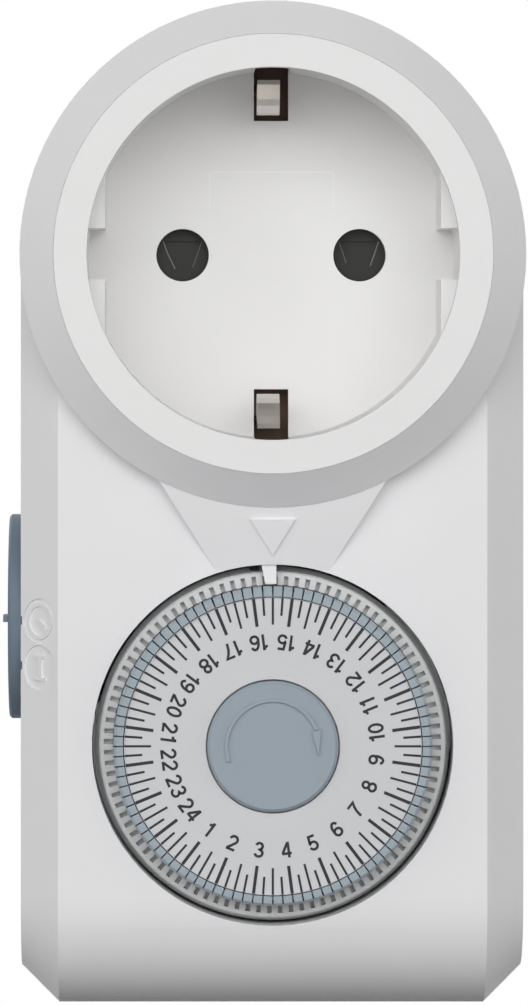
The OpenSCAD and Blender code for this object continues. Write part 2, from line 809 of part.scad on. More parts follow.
// One bent strip: the sprung clip in the recess, the run to the back and the contact on the plug body
module earth_contact(s) {
    nose_y = floor_y - 5.5;
    nose_r = recess_r - 4.4;
    strap_mid = strap_z + strap_t / 2;
    lead = [for (i = [6:-1:1]) [nose_y - 4.8 * i / 6, nose_r + 3 * (1 - cos(90 * i / 6))]];
    bow = [for (i = [0:8]) [nose_y + 6.1 * i / 8, nose_r + (strap_mid - nose_r) * (1 - cos(180 * i / 8)) / 2]];
    strap_from = contact_back - 2;
    clip = concat(lead, bow, [[strap_from, strap_mid]]);
    rear = plug_len - 2.6;
    clip_w = 2.4;
    shift = -0.4;
    color(metal_steel) {
        along_x(shift - clip_w / 2, shift + clip_w / 2) scale([1, s]) strip_plan(clip, strap_t);
        z0 = s > 0 ? strap_z : -strap_z - strap_t;
        translate([0, 0, z0]) linear_extrude(strap_t) polygon([
            [shift - clip_w / 2, strap_from - eps], [shift + clip_w / 2, strap_from - eps],
            [strap_w / 2, strap_from + 5], [strap_w / 2, rear], [-strap_w / 2, rear], [-strap_w / 2, strap_from + 5]]);
    }
}

module earth_contact_top() { earth_contact(1); }
module earth_contact_bottom() { earth_contact(-1); }

module earth_link() {
    y0 = contact_back + 0.4;
    color(metal_copper) box_between([-1.6, y0, -strap_z], [1.6, y0 + bar_t, strap_z]);
}

// ---------- conductors and switch ----------

module contact_ring(s, y0) {
    difference() {
        box_between([s * pin_x - 3.4, y0, -3.5], [s * pin_x + 3.4, y0 + bar_t, 3.5]);
        rod_y(contact_r + contact_t + eps, y0 - 1, y0 + 2, [s * pin_x, 0]);
    }
}

// The tab on a pin's tail and the riser from it to y1
module pin_tab(s, y1) {
    x0 = s > 0 ? pin_x - 2 : -riser_x;
    x1 = s > 0 ? riser_x : -pin_x + 2;
    riser = s > 0 ? riser_x - bar_t : -riser_x;
    difference() {
        box_between([x0, tab_y, -2.5], [x1, tab_y + bar_t, 2.5]);
        rod_y(1.5 + eps, tab_y - 1, tab_y + 2, [s * pin_x, 0]);
    }
    box_between([riser, y1, -2.5], [riser + bar_t, tab_y + eps, 2.5]);
}

module neutral_bar() {
    y0 = contact_back - bar_t - 0.2;
    color(metal_brass) {
        contact_ring(1, y0);
        box_between([pin_x + 3.4 - eps, y0, -2.5], [riser_x, y0 + bar_t, 2.5]);
        pin_tab(1, y0);
    }
}

module live_bar() {
    x0 = -riser_x;
    x1 = bar_x;
    x2 = arm_x + blade_w;
    color(metal_brass) {
        pin_tab(-1, live_y);
        along_y(live_y, live_y + bar_t) polygon([
            [x0 + bar_t, 2.5], [x0 + bar_t, -3.5], [x2, blade_z + 5], [x2, bypass_z - 1], [x1, bypass_z - 1],
            [x1, blade_z + 9], [x0 - 2, 2.5]]);
        // the knuckles that the two blades rest on
        box_between([arm_x, blade_root + 0.3, blade_z - 0.6], [x2, live_y + eps, blade_z + 0.9]);
        box_between([x1, bypass_root + 0.3, bypass_z - 0.6], [x1 + cam_w, live_y + eps, bypass_z + 0.9]);
    }
}

module load_bar() {
    y0 = contact_back - bar_t - 0.2;
    x0 = -pin_x - 3.4;
    x1 = bar_x;
    x2 = arm_x + blade_w;
    y_strip = bypass_rivet_y + 2;
    color(metal_brass) {
        contact_ring(-1, y0);
        box_between([x0, y0, load_z], [x0 + 3.4, y0 + bar_t, -3.5 + eps]);
        translate([0, 0, load_z]) linear_extrude(bar_t) polygon([
            [x0 + 3.4, y0 + bar_t], [x0 + 3.4, y0 - 4], [x2, blade_free + 6], [x2, blade_free - 0.5],
            [x1, blade_free - 0.5], [x1, y_strip + 0.6], [x0, y0 - 2.5], [x0, y0 + bar_t]]);
        box_between([x1, y_strip, bypass_load_z], [x1 + cam_w, y_strip + bar_t, load_z + eps]);
        box_between([x1, bypass_free, bypass_load_z], [x1 + cam_w, y_strip + bar_t, bypass_load_z + bar_t]);
    }
}

module fixed_contacts() {
    color(metal_steel) {
        rod_z(rivet_r, fixed_z, load_z, plunger_x, blade_rivet_y);
        rod_z(rivet_r, bypass_fixed_z, bypass_load_z, bar_x + cam_w / 2, bypass_rivet_y);
    }
}

module switch_blade() {
    color(metal_copper) {
        box_between([arm_x, blade_free, blade_z], [arm_x + blade_w, blade_root, blade_z + blade_t]);
        rod_z(rivet_r, blade_z + blade_t - eps, blade_z + blade_t + rivet_h, plunger_x, blade_rivet_y);
    }
}

module bypass_blade() {
    color(metal_copper) {
        box_between([bar_x, bypass_free, bypass_z], [bar_x + cam_w, bypass_root, bypass_z + blade_t]);
        rod_z(rivet_r, bypass_z + blade_t - eps, bypass_z + blade_t + rivet_h, bar_x + cam_w / 2, bypass_rivet_y);
    }
}

module switch_plunger() {
    color(plastic_blue) rod_z(plunger_r, plunger_bottom, plunger_bottom + plunger_len, plunger_x, plunger_y);
}

module switch_base() {
    z0 = blade_z - 2.6;
    x2 = arm_x + blade_w;
    y_back = blade_root - 0.6;
    color(plastic_black) difference() {
        union() {
            box_between([-inner_w, plunger_y - 1.9, z0], [x2 + 1.9, plunger_y + 1.9, blade_z - 0.8]);
            box_between([x2 + 0.6, plunger_y - 1.9, z0], [x2 + 1.9, y_back, load_z]);
        }
        rod_z(plunger_r + fit, z0 - 1, blade_z, plunger_x, plunger_y);
    }
}

// A rocking shaft with one finger behind the segments and one arm under the plunger
module trip_lever() {
    shaft_x1 = 2.9;
    finger_w = 1.6;
    color(plastic_nylon) {
        rod_x(lever_r, arm_x, shaft_x1, lever_y, lever_z);
        along_x(follower_x - finger_w / 2, follower_x + finger_w / 2)
            strip_plan([[lever_y, lever_z], [follower_y, follower_z]], arm_t);
        rod_x(follower_r, follower_x - finger_w / 2, follower_x + finger_w / 2, follower_y, follower_z);
        along_x(arm_x, arm_x + arm_w) strip_plan([[lever_y, lever_z], [arm_tip_y, arm_tip_z]], arm_t);
        rod_x(follower_r, arm_x, arm_x + arm_w, arm_tip_y, arm_tip_z);
    }
}

module lever_spring() {
    x = -10;
    color(metal_steel) translate([x, lever_y, lever_z]) rotate([0, 90, 0])
        coil_z(lever_r + 0.42, 0.17, -2.4, 2.4, 8, 14, 6);
}

// ---------- override ----------

module override_disc() {
    edge = 0.25;
    color(plastic_blue) {
        translate([disc_out, override_y, override_z]) rotate([0, 90, 0]) rotate_extrude($fn = 128)
            polygon([[0, 0], [override_r - edge, 0], [override_r, edge], [override_r, disc_in - disc_out], [0, disc_in - disc_out]]);
        // the short pointer beside the disc's edge
        box_between([disc_out - nub_h, override_y - override_r + 0.4, override_z - nub_t / 2 + 0.15],
                    [disc_out + eps, override_y - override_r + 4.4, override_z + nub_t / 2 + 0.15]);
        rod_x(override_shaft_r, disc_in - eps, -inner_w + 0.1, override_y, override_z);
    }
}

// The cam's stub, hub and lifting finger on the inner end of the override shaft
module override_cam() {
    color(plastic_nylon) {
        rod_x(cam_shaft_r, -inner_w + 0.1, cam_x + cam_w, override_y, override_z);
        rod_x(override_shaft_r + 0.6, -inner_w + 0.1, cam_x - 0.05, override_y, override_z);
        along_x(cam_x, cam_x + cam_w)
            strip_plan([[override_y, override_z], [override_y + cam_arm, override_z]], 1.4);
        rod_x(cam_tip_r, cam_x, cam_x + cam_w, override_y + cam_arm, override_z);
    }
}

// ---------- dial ----------

module dial_carrier() {
    color(plastic_dial) difference() {
        union() {
            // outer ring, slot plate and drum
            turned(axis_d) polygon([
                [tooth_in, ring_y], [dial_r - 0.15, ring_y], [dial_r, ring_y + 0.15], [dial_r, ring_y + 0.8],
                [dial_r + skirt_flare, ring_y + 2.4], [dial_r + skirt_flare, slot_back],
                [face_r - drum_t, slot_back], [face_r - drum_t, carrier_front + carrier_plate_t],
                [hub_r + hub_wall, carrier_front + carrier_plate_t], [hub_r + hub_wall, drive_front - 1],
                [hub_r + fit, drive_front - 1], [hub_r + fit, carrier_front], [face_r, carrier_front],
                [face_r, slot_back - slot_plate_t], [tooth_in, slot_back - slot_plate_t]]);
        }
        // a mark in the skirt for setting the dial on its drive wheel
        box_between([-2.4, ring_y + 0.8, dial_z + dial_r], [-1.35, slot_back + 1, dial_z + well_r]);
        for (i = [0:segment_n - 1]) at_segment(i) segment_slot();
        for (i = [0:segment_n - 1]) at_segment(i - tooth_shift * segment_n / 360) tooth_gap();
    }
}

// Places a piece that is drawn at the top of the dial, at step i clockwise
module at_segment(i) {
    translate([axis_d[0], 0, axis_d[1]]) rotate([0, (i + 0.5) * 360 / segment_n, 0]) children();
}

module segment_slot() {
    w = stem_w + 2 * slide_gap;
    box_between([-w / 2, slot_back - slot_plate_t - 1, segment_in], [w / 2, slot_back + 1, segment_out]);
}

module tooth_gap() {
    w = tooth_share * 2 * PI * (tooth_in + tooth_w / 2) / segment_n;
    box_between([-w / 2, ring_y - 1, segment_in + 0.2], [w / 2, ring_y + 0.9, tooth_out + 0.1]);
}

// A segment's head with its bevelled outer corner, and the stem behind it
module segment_piece() {
    cut = 0.28;
    along_x(-segment_t / 2, segment_t / 2) polygon([
        [segment_front, segment_in], [segment_front, segment_out - cut], [segment_front + cut, segment_out],
        [head_back, segment_out], [head_back, segment_in]]);
    box_between([-stem_w / 2, head_back - eps, segment_in + stem_inset], [stem_w / 2, tip_back, segment_out - stem_inset]);
}

function is_movable(i) = len(search(i, [for (m = movable_steps) (m + segment_n) % segment_n])) > 0;

module dial_segments() {
    color(plastic_blue) for (i = [0:segment_n - 1]) if (!is_movable(i)) at_segment(i) segment_piece();
}

module segment_1() { color(plastic_blue) at_segment(movable_steps[0]) segment_piece(); }
module segment_2() { color(plastic_blue) at_segment(movable_steps[1]) segment_piece(); }
module segment_3() { color(plastic_blue) at_segment(movable_steps[2]) segment_piece(); }
module segment_4() { color(plastic_blue) at_segment(movable_steps[3]) segment_piece(); }

module dial_face() {
    color(plastic_dial) ring_y_axis(face_r, knob_r + 0.18, face_y, face_y + face_t, axis_d);
}

// The knob with its raised turning arrow
module dial_knob() {
    top = face_y - knob_h;
    arc_r = 0.71 * knob_r;
    line_w = 0.32;
    rise = 0.3;
    color(plastic_blue) {
        turned(axis_d) polygon([[0, top], [knob_r - 0.3, top], [knob_r, top + 0.3], [knob_r, carrier_front], [0, carrier_front]]);
        along_y(top - rise, top + eps) translate(axis_d) {
            arc_plan(arc_r, line_w, 21, 199);
            tip = polar(arc_r, -11);
            base = polar(arc_r, 20);
            side = polar(0.5, 20);
            polygon([tip, base + side, base - side]);
        }
    }
}

// A flat arc from angle a0 to a1, counted from the right
module arc_plan(r, w, a0, a1) {
    n = 36;
    outer = [for (i = [0:n]) polar(r + w / 2, a0 + (a1 - a0) * i / n)];
    inner = [for (i = [n:-1:0]) polar(r - w / 2, a0 + (a1 - a0) * i / n)];
    polygon(concat(outer, inner));
}

module drive_wheel() {
    tube_front = carrier_front + 1;
    color(plastic_nylon) difference() {
        union() {
            wheel(drive_n, axis_d, angle_a + 180, drive_y, drive_t);
            rod_y(hub_r, tube_front, drive_y, axis_d);
        }
        rod_y(arbor_r + fit, tube_front - 1, drive_front + 2, axis_d);
        for (i = [0:5]) rod_y(2.4, drive_front - 1, drive_front + 2, axis_d + polar(10, i * 60 + 30));
    }
}

// The cupped washer that presses the drive wheel and the dial apart, so that the dial can be turned by hand
module clutch_washer() {
    back = drive_front - 0.05;
    front = drive_front - 0.95;
    t = 0.3;
    color(metal_steel) turned(axis_d) polygon([
        [hub_r + 0.15, front], [hub_r + 0.15, front + t], [hub_r + 2.8, back], [hub_r + 2.8, back - t]]);
}

module dial_arbor() {
    color(metal_steel) difference() {
        rod_y(arbor_r, carrier_front + 0.25, front_plate_y + plate_t, axis_d);
        ring_y_axis(arbor_r + 1, arbor_r - 0.35, carrier_front + 0.5, carrier_front + 0.9, axis_d);
    }
}

module arbor_clip() {
    color(metal_steel) ring_y_axis(arbor_r + 0.9, arbor_r - 0.34, carrier_front + 0.5 + eps, carrier_front + 0.9 - eps, axis_d);
}

// ---------- gear train ----------

module plate_plan(grow) {
    p = post_places;
    r = post_r + grow;
    polygon([p[0] + [r, r], p[0] + [-r, r], axis_d + [-4, 12], axis_d + [-12, 3], p[1] + [-r, r], p[1] + [-r, -r],
             p[2] + [-r, r], p[2] + [-r, -r], p[2] + [r, -r], axis_b + [0, -4], axis_a + [3, -4], axis_a + [6, 4],
             p[0] + [r, -r]]);
}

module plate_holes(y0) {
    for (p = post_places) rod_y(mech_screw_r + 0.1, y0 - 1, y0 + plate_t + 1, p);
    for (p = [axis_b]) rod_y(axle_r, y0 - 1, y0 + plate_t + 1, p);
}

module front_plate() {
    color(metal_steel) difference() {
        along_y(front_plate_y, front_plate_y + plate_t) plate_plan(-0.4);
        plate_holes(front_plate_y);
        rod_y(gear_m * (last_leaf_n / 2 + 0.9) + 0.4, front_plate_y - 1, front_plate_y + 2, axis_a);
        rod_y(arbor_r, front_plate_y - 1, front_plate_y + 2, axis_d);
    }
}

module rear_plate() {
    color(metal_steel) difference() {
        along_y(rear_plate_y, rear_plate_y + plate_t) plate_plan(-0.4);
        plate_holes(rear_plate_y);
        rod_y(axle_r, rear_plate_y - 1, rear_plate_y + 2, axis_a);
        rod_y(motor_shaft_r + fit, rear_plate_y - 1, rear_plate_y + 2, axis_m);
    }
}

module plate_pillars() {
    color(metal_steel) for (p = post_places)
        ring_y_axis(post_r - 0.4, mech_screw_r + 0.1, front_plate_y + plate_t, rear_plate_y, p);
}

module mechanism_screws() {
    color(metal_steel) for (p = post_places) {
        rod_y(mech_screw_r - 0.02, front_plate_y - 5.5, rear_plate_y + plate_t + eps, p);
        rod_y(1.7, rear_plate_y + plate_t, rear_plate_y + plate_t + 1.1, p);
    }
}

module axle_a() {
    color(metal_steel) rod_y(axle_r, drive_front + 0.1, rear_plate_y + plate_t, axis_a);
}

module axle_b() {
    color(metal_steel) rod_y(axle_r, front_plate_y, rear_plate_y + plate_t, axis_b);
}

module gear_1() {
    front = layer_y[1] - pinion_reach;
    color(plastic_nylon)
        compound(axis_a, wheel_n, angle_m + 180, layer_y[0], leaf_n, angle_b, front, rear_plate_y - 0.12);
}

module gear_2() {
    front = layer_y[2] - pinion_reach;
    color(plastic_white)
        compound(axis_b, wheel_n, angle_b, layer_y[1], leaf_n, angle_b + 180, front, rear_plate_y - 0.12);
}

module gear_3() {
    front = layer_y[3] - pinion_reach;
    color(plastic_nylon)
        compound(axis_a, wheel_n, angle_b + 180, layer_y[2], leaf_n, angle_b, front, layer_y[1] - pinion_reach - 0.12);
}

module gear_4() {
    front = layer_y[4] - pinion_reach;
    color(plastic_white)
        compound(axis_b, wheel_n, angle_b, layer_y[3], fourth_leaf_n, angle_b + 180, front,
                 layer_y[2] - pinion_reach - 0.12);
}

module gear_5() {
    color(plastic_nylon)
        compound(axis_a, fifth_wheel_n, angle_b + 180, layer_y[4], last_leaf_n, angle_a + 180, drive_front - 0.1,
                 layer_y[3] - pinion_reach - 0.12);
}

// ---------- motor ----------

// Claw poles that stand between the rotor and the coil
module claw_poles(y0, y1, shift) {
    for (i = [0:5]) translate([axis_m[0], 0, axis_m[1]]) rotate([0, i * 60 + shift, 0])
        box_between([-1.3, y0, magnet_r + 0.35], [1.3, y1, magnet_r + 0.95]);
}

module motor_can() {
    back = motor_y + motor_d;
    color(metal_steel) difference() {
        union() {
            ring_y_axis(motor_r, motor_r - can_t, motor_y, back, axis_m);
            rod_y(motor_r, back - can_t, back, axis_m);
            claw_poles(motor_y + 2.2, back - can_t + eps, 30);
            rod_y(1.6, magnet_back + 0.4, back, axis_m);
        }
        rod_y(motor_shaft_r + fit, magnet_back, back - can_t, axis_m);
        translate([axis_m[0], 0, axis_m[1]])
            box_between([-2.6, back - 3.4, motor_r - 2], [2.6, back - 1.2, motor_r + 1]);
    }
}

module motor_cover() {
    color(metal_steel) difference() {
        union() {
            rod_y(motor_r - can_t - 0.05, motor_y, motor_y + can_t, axis_m);
            claw_poles(motor_y + can_t - eps, motor_y + motor_d - 2.2, 0);
        }
        rod_y(motor_shaft_r + 0.6, motor_y - 1, motor_y + 2, axis_m);
    }
}

module coil_bobbin() {
    y0 = motor_y + can_t + 0.1;
    y1 = motor_y + motor_d - can_t - 0.1;
    color(plastic_white) turned(axis_m) polygon([
        [bobbin_in - 0.4, y0], [bobbin_out, y0], [bobbin_out, y0 + 0.8], [bobbin_in + 0.4, y0 + 0.8],
        [bobbin_in + 0.4, y1 - 0.8], [bobbin_out, y1 - 0.8], [bobbin_out, y1], [bobbin_in - 0.4, y1]]);
}

module motor_coil() {
    y0 = motor_y + can_t + 0.9;
    y1 = motor_y + motor_d - can_t - 0.9;
    color(metal_copper) ring_y_axis(coil_out, bobbin_in + 0.4, y0, y1, axis_m);
}

module rotor_magnet() {
    color(plastic_black) ring_y_axis(magnet_r, motor_shaft_r, magnet_front, magnet_back, axis_m);
}

module rotor_shaft() {
    front = layer_y[0] - pinion_reach;
    color(metal_steel) {
        rod_y(motor_shaft_r, front - 0.3, magnet_back + 1, axis_m);
        pinion(leaf_n, axis_m, angle_m + 180, front, layer_y[0] + pinion_reach);
    }
}

// An insulated wire in one plane across Y: up, a bend, a run to the side, a bend and up again
module wire(x0, z0, z_run, x1, z1, y) {
    r = 0.5;
    rod_z(r, z0, z_run, x0, y);
    rod_x(r, min(x0, x1), max(x0, x1), y, z_run);
    rod_z(r, z_run, z1, x1, y);
    for (x = [x0, x1]) translate([x, y, z_run]) sphere(r = r + 0.05);
}

module motor_leads() {
    y = motor_y + motor_d - 2.3;
    z0 = axis_m[1] + bobbin_out + 0.35;
    x = axis_m[0];
    color([0.62, 0.16, 0.12]) wire(x - 1.3, z0, z0 + 3, arm_x + 1.6, blade_z + 2, y);
    color([0.2, 0.3, 0.55]) wire(x + 1.3, z0, z0 + 5, riser_x - 0.4, -2.6, y);
}

front_housing();
rear_housing();
plug_body();
housing_screws();
socket_insert();
shutter();
shutter_spring();
contact_carrier();
socket_contact_left();
socket_contact_right();
plug_pin_left();
plug_pin_right();
pin_clamp();
clamp_screws();
earth_contact_top();
earth_contact_bottom();
earth_link();
neutral_bar();
live_bar();
load_bar();
fixed_contacts();
switch_blade();
bypass_blade();
switch_plunger();
switch_base();
trip_lever();
lever_spring();
override_disc();
override_cam();
dial_carrier();
dial_face();
dial_knob();
dial_segments();
segment_1();
segment_2();
segment_3();
segment_4();
drive_wheel();
clutch_washer();
dial_arbor();
arbor_clip();
front_plate();
rear_plate();
plate_pillars();
mechanism_screws();
axle_a();
axle_b();
gear_1();
gear_2();
gear_3();
gear_4();
gear_5();
motor_can();
motor_cover();
motor_coil();
coil_bobbin();
rotor_magnet();
rotor_shaft();
motor_leads();
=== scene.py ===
# Looks, dial print, camera and lights for the plug-in timer switch
import math

import bpy
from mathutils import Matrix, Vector


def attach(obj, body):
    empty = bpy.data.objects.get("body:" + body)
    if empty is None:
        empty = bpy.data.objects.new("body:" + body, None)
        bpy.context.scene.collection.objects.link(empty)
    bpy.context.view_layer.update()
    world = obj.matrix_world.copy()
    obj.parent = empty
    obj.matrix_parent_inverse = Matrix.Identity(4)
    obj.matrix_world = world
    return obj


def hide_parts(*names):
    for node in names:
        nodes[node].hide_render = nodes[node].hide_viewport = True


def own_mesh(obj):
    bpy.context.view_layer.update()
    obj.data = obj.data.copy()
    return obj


mm = 0.001

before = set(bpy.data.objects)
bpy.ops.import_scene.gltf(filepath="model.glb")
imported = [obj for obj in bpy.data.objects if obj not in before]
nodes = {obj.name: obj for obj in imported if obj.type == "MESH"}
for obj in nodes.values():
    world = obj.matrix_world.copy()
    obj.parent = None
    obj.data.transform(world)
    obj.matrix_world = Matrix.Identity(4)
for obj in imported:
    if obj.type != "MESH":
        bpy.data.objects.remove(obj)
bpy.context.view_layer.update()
print("frame loaded:", len(nodes), "nodes")


# Fine texture of the two kinds of finish; scales count per metre, heights are in mm
plasticTexture = {
    "patchScale": 60, "mottle": 0.012, "gloss": 0.4,
    "grainScale": 3500, "grainDetail": 2, "grainDepth": 0.05, "grainHeight": 0.05,
}
metalTexture = {
    "patchScale": 300, "mottle": 0.06,
    "scratchScale": 2500, "scratchDetail": 2, "scratchDepth": 0.08, "scratchHeight": 0.03,
    "along": (1, 0.1, 1),  # a scratch is long where the number is small
}
patchDetail = 3
patchEnds = (0.3, 0.7)  # where the noise reaches the darker and the lighter shade


def newMaterial(name):
    material = bpy.data.materials.new(name)
    material.use_nodes = True
    tree = material.node_tree
    return material, tree, tree.nodes["Principled BSDF"]


def noiseAt(tree, scale, detail, stretch=(1, 1, 1)):
    place = tree.nodes.new("ShaderNodeTexCoord")
    mapping = tree.nodes.new("ShaderNodeMapping")
    mapping.inputs["Scale"].default_value = stretch
    tree.links.new(place.outputs["Object"], mapping.inputs["Vector"])
    noise = tree.nodes.new("ShaderNodeTexNoise")
    noise.inputs["Scale"].default_value = scale
    noise.inputs["Detail"].default_value = detail
    tree.links.new(mapping.outputs["Vector"], noise.inputs["Vector"])
    return noise.outputs["Fac"]


def bumpFrom(tree, shader, pattern, depth, height):
    bump = tree.nodes.new("ShaderNodeBump")
    bump.inputs["Strength"].default_value = depth
    bump.inputs["Distance"].default_value = height * mm
    tree.links.new(pattern, bump.inputs["Height"])
    tree.links.new(bump.outputs["Normal"], shader.inputs["Normal"])


# Soft patches, a little darker and a little lighter than the finish's own colour
def patchyMaterial(name, settings, texture):
    material, tree, shader = newMaterial(name)
    mottle = settings.get("mottle", texture["mottle"])
    dark = [c * (1 - mottle) for c in settings["color"]]
    light = [min(1, c * (1 + mottle)) for c in settings["color"]]
    ramp = tree.nodes.new("ShaderNodeValToRGB")
    for stop, position, shade in zip(ramp.color_ramp.elements, patchEnds, (dark, light)):
        stop.position = position
        stop.color = (*shade, 1)
    tree.links.new(noiseAt(tree, texture["patchScale"], patchDetail), ramp.inputs["Fac"])
    tree.links.new(ramp.outputs["Color"], shader.inputs["Base Color"])
    shader.inputs["Roughness"].default_value = settings["roughness"]
    return material, tree, shader


def mouldedPlastic(name, settings):
    material, tree, shader = patchyMaterial(name, settings, plasticTexture)
    gloss = settings.get("gloss", plasticTexture["gloss"])
    shader.inputs["Specular IOR Level"].default_value = gloss
    grain = noiseAt(tree, plasticTexture["grainScale"], plasticTexture["grainDetail"])
    grainDepth = settings.get("grainDepth", plasticTexture["grainDepth"])
    bumpFrom(tree, shader, grain, grainDepth, plasticTexture["grainHeight"])
    return material


def stripMetal(name, settings):
    material, tree, shader = patchyMaterial(name, settings, metalTexture)
    shader.inputs["Metallic"].default_value = 1
    along = settings.get("along", metalTexture["along"])
    scratches = noiseAt(tree, metalTexture["scratchScale"], metalTexture["scratchDetail"], along)
    scratchDepth, scratchHeight = metalTexture["scratchDepth"], metalTexture["scratchHeight"]
    bumpFrom(tree, shader, scratches, scratchDepth, scratchHeight)
    return material


# Each finish with its colour and the nodes that wear it
finishes = {
    "housingWhite": {
        "make": mouldedPlastic, "color": (0.803, 0.802, 0.812),
        "roughness": 0.55, "gloss": 0.22, "grainDepth": 0.10,
        "on": ["front_housing", "rear_housing", "plug_body"],
    },
    # The socket insert's white is a little warmer than the housing's: painted warm light from
    # inside the socket's recess
    "insertWhite": {
        "make": mouldedPlastic, "color": (0.810, 0.805, 0.802),
        "roughness": 0.55, "gloss": 0.22, "grainDepth": 0.10,
        "on": ["socket_insert"],
    },
    "dialLight": {
        "make": mouldedPlastic, "color": (0.65, 0.655, 0.65), "roughness": 0.5, "gloss": 0.25,
        "on": ["dial_carrier"],
    },
    "dialFace": {
        "make": mouldedPlastic, "color": (0.62, 0.628, 0.642), "roughness": 0.5, "gloss": 0.25,
        "on": ["dial_face"],
    },
    "knobBlue": {
        "make": mouldedPlastic, "color": (0.31, 0.36, 0.41),
        "roughness": 0.5, "gloss": 0.25, "mottle": 0.02,
        "on": ["dial_knob"],
    },
    "segmentBlue": {
        "make": mouldedPlastic, "color": (0.34, 0.395, 0.435), "roughness": 0.5, "gloss": 0.25,
        "on": ["dial_segments", "segment_1", "segment_2", "segment_3", "segment_4"],
    },
    "overrideBlue": {
        "make": mouldedPlastic, "color": (0.155, 0.20, 0.245),
        "roughness": 0.6, "gloss": 0.15, "mottle": 0.03,
        "on": ["override_disc"],
    },
    "shutterBlack": {
        "make": mouldedPlastic, "color": (0.014, 0.014, 0.013), "roughness": 0.5, "gloss": 0.25,
        "on": ["shutter", "switch_base"],
    },
    # The contact carrier's dark brown is painted shade: it stands in for the dim brownish depth of
    # the socket's slots
    "carrierBrown": {
        "make": mouldedPlastic, "color": (0.11, 0.062, 0.042), "roughness": 0.5, "gloss": 0.25,
        "on": ["contact_carrier"],
    },
    "naturalNylon": {
        "make": mouldedPlastic, "color": (0.72, 0.69, 0.60), "roughness": 0.45,
        "on": ["pin_clamp", "trip_lever", "override_cam", "drive_wheel",
               "gear_1", "gear_3", "gear_5"],
    },
    "gearWhite": {
        "make": mouldedPlastic, "color": (0.76, 0.76, 0.74), "roughness": 0.42,
        "on": ["gear_2", "gear_4", "coil_bobbin"],
    },
    "plungerBlue": {
        "make": mouldedPlastic, "color": (0.20, 0.25, 0.30), "roughness": 0.4,
        "on": ["switch_plunger"],
    },
    "ferriteDark": {
        "make": mouldedPlastic, "color": (0.05, 0.05, 0.055), "roughness": 0.55,
        "on": ["rotor_magnet"],
    },
    "leadRed": {
        "make": mouldedPlastic, "color": (0.42, 0.05, 0.03), "roughness": 0.45,
        "on": ["motor_leads"],
    },
    "nickelPlate": {
        "make": stripMetal, "color": (0.66, 0.63, 0.59), "roughness": 0.24,
        "on": ["plug_pin_left", "plug_pin_right", "earth_contact_top", "earth_contact_bottom"],
    },
    "zincSteel": {
        "make": stripMetal, "color": (0.60, 0.61, 0.63), "roughness": 0.34,
        "on": ["housing_screws", "clamp_screws", "dial_arbor", "plate_pillars", "mechanism_screws",
               "axle_a", "axle_b", "front_plate", "rear_plate",
               "motor_can", "motor_cover", "rotor_shaft"],
    },
    "springSteel": {
        "make": stripMetal, "color": (0.52, 0.53, 0.55), "roughness": 0.26,
        "on": ["shutter_spring", "lever_spring", "clutch_washer", "arbor_clip"],
    },
    "brassStrip": {
        "make": stripMetal, "color": (0.78, 0.58, 0.27), "roughness": 0.3,
        "on": ["socket_contact_left", "socket_contact_right",
               "neutral_bar", "live_bar", "load_bar"],
    },
    "bronzeStrip": {
        "make": stripMetal, "color": (0.70, 0.42, 0.24), "roughness": 0.3,
        "on": ["switch_blade", "bypass_blade"],
    },
    # The bronze strip's colour at about a sixth of its brightness: painted shade for the earth link
    # deep inside the housing
    "darkBronze": {
        "make": stripMetal, "color": (0.12, 0.07, 0.045), "roughness": 0.4,
        "on": ["earth_link"],
    },
    "silverContact": {
        "make": stripMetal, "color": (0.80, 0.79, 0.76), "roughness": 0.25,
        "on": ["fixed_contacts"],
    },
    "windingCopper": {
        "make": stripMetal, "color": (0.60, 0.24, 0.10), "roughness": 0.35, "along": (1, 8, 1),
        "on": ["motor_coil"],
    },
}

for finishName, settings in finishes.items():
    finish = settings["make"](finishName, settings)
    for nodeName in settings["on"]:
        for slot in nodes[nodeName].material_slots:
            slot.link = "OBJECT"
            slot.material = finish
dressed = {nodeName for settings in finishes.values() for nodeName in settings["on"]}
print("finishes:", len(finishes), "nodes without one:", sorted(set(nodes) - dressed))


# The small rounding along the edges of each node, its radius in mm
edgeRounding = {
    "radius": {
        "front_housing": 0.25, "rear_housing": 0.25, "plug_body": 0.25, "socket_insert": 0.2,
        "override_disc": 0.12, "dial_knob": 0.06, "dial_carrier": 0.05, "dial_face": 0.05,
        "earth_contact_top": 0.12, "earth_contact_bottom": 0.12, "shutter": 0.08,
    },
    "sharperThan": 35,  # degrees
    "segments": 2,
}


def roundEdges(node, radius, settings):
    bevel = node.modifiers.new("fine edges", "BEVEL")
    bevel.width = radius * mm
    bevel.segments = settings["segments"]
    bevel.limit_method = "ANGLE"
    bevel.angle_limit = math.radians(settings["sharperThan"])
    bevel.harden_normals = False
    bevel.use_clamp_overlap = True


for nodeName, radius in edgeRounding["radius"].items():
    roundEdges(nodes[nodeName], radius, edgeRounding)
print("fine edges on", len(edgeRounding["radius"]), "nodes")


boxSides = ((0, 1, 2, 3), (7, 6, 5, 4), (0, 4, 5, 1), (1, 5, 6, 2), (2, 6, 7, 3), (3, 7, 4, 0))


def addObject(name, data):
    thing = bpy.data.objects.new(name, data)
    bpy.context.scene.collection.objects.link(thing)
    return thing


def meshPiece(name, verts, faces, material):
    mesh = bpy.data.meshes.new(name)
    mesh.from_pydata(verts, [], faces)
    mesh.update()
    mesh.materials.append(material)
    return addObject(name, mesh)


# A flat box, square to the front, over four corners in x and z
def addBox(verts, faces, corners, yFront, yBack):
    first = len(verts)
    for y in (yBack, yFront):
        for x, z in corners:
            verts.append((x * mm, y * mm, z * mm))
    for boxSide in boxSides:
        faces.append([first + i for i in boxSide])


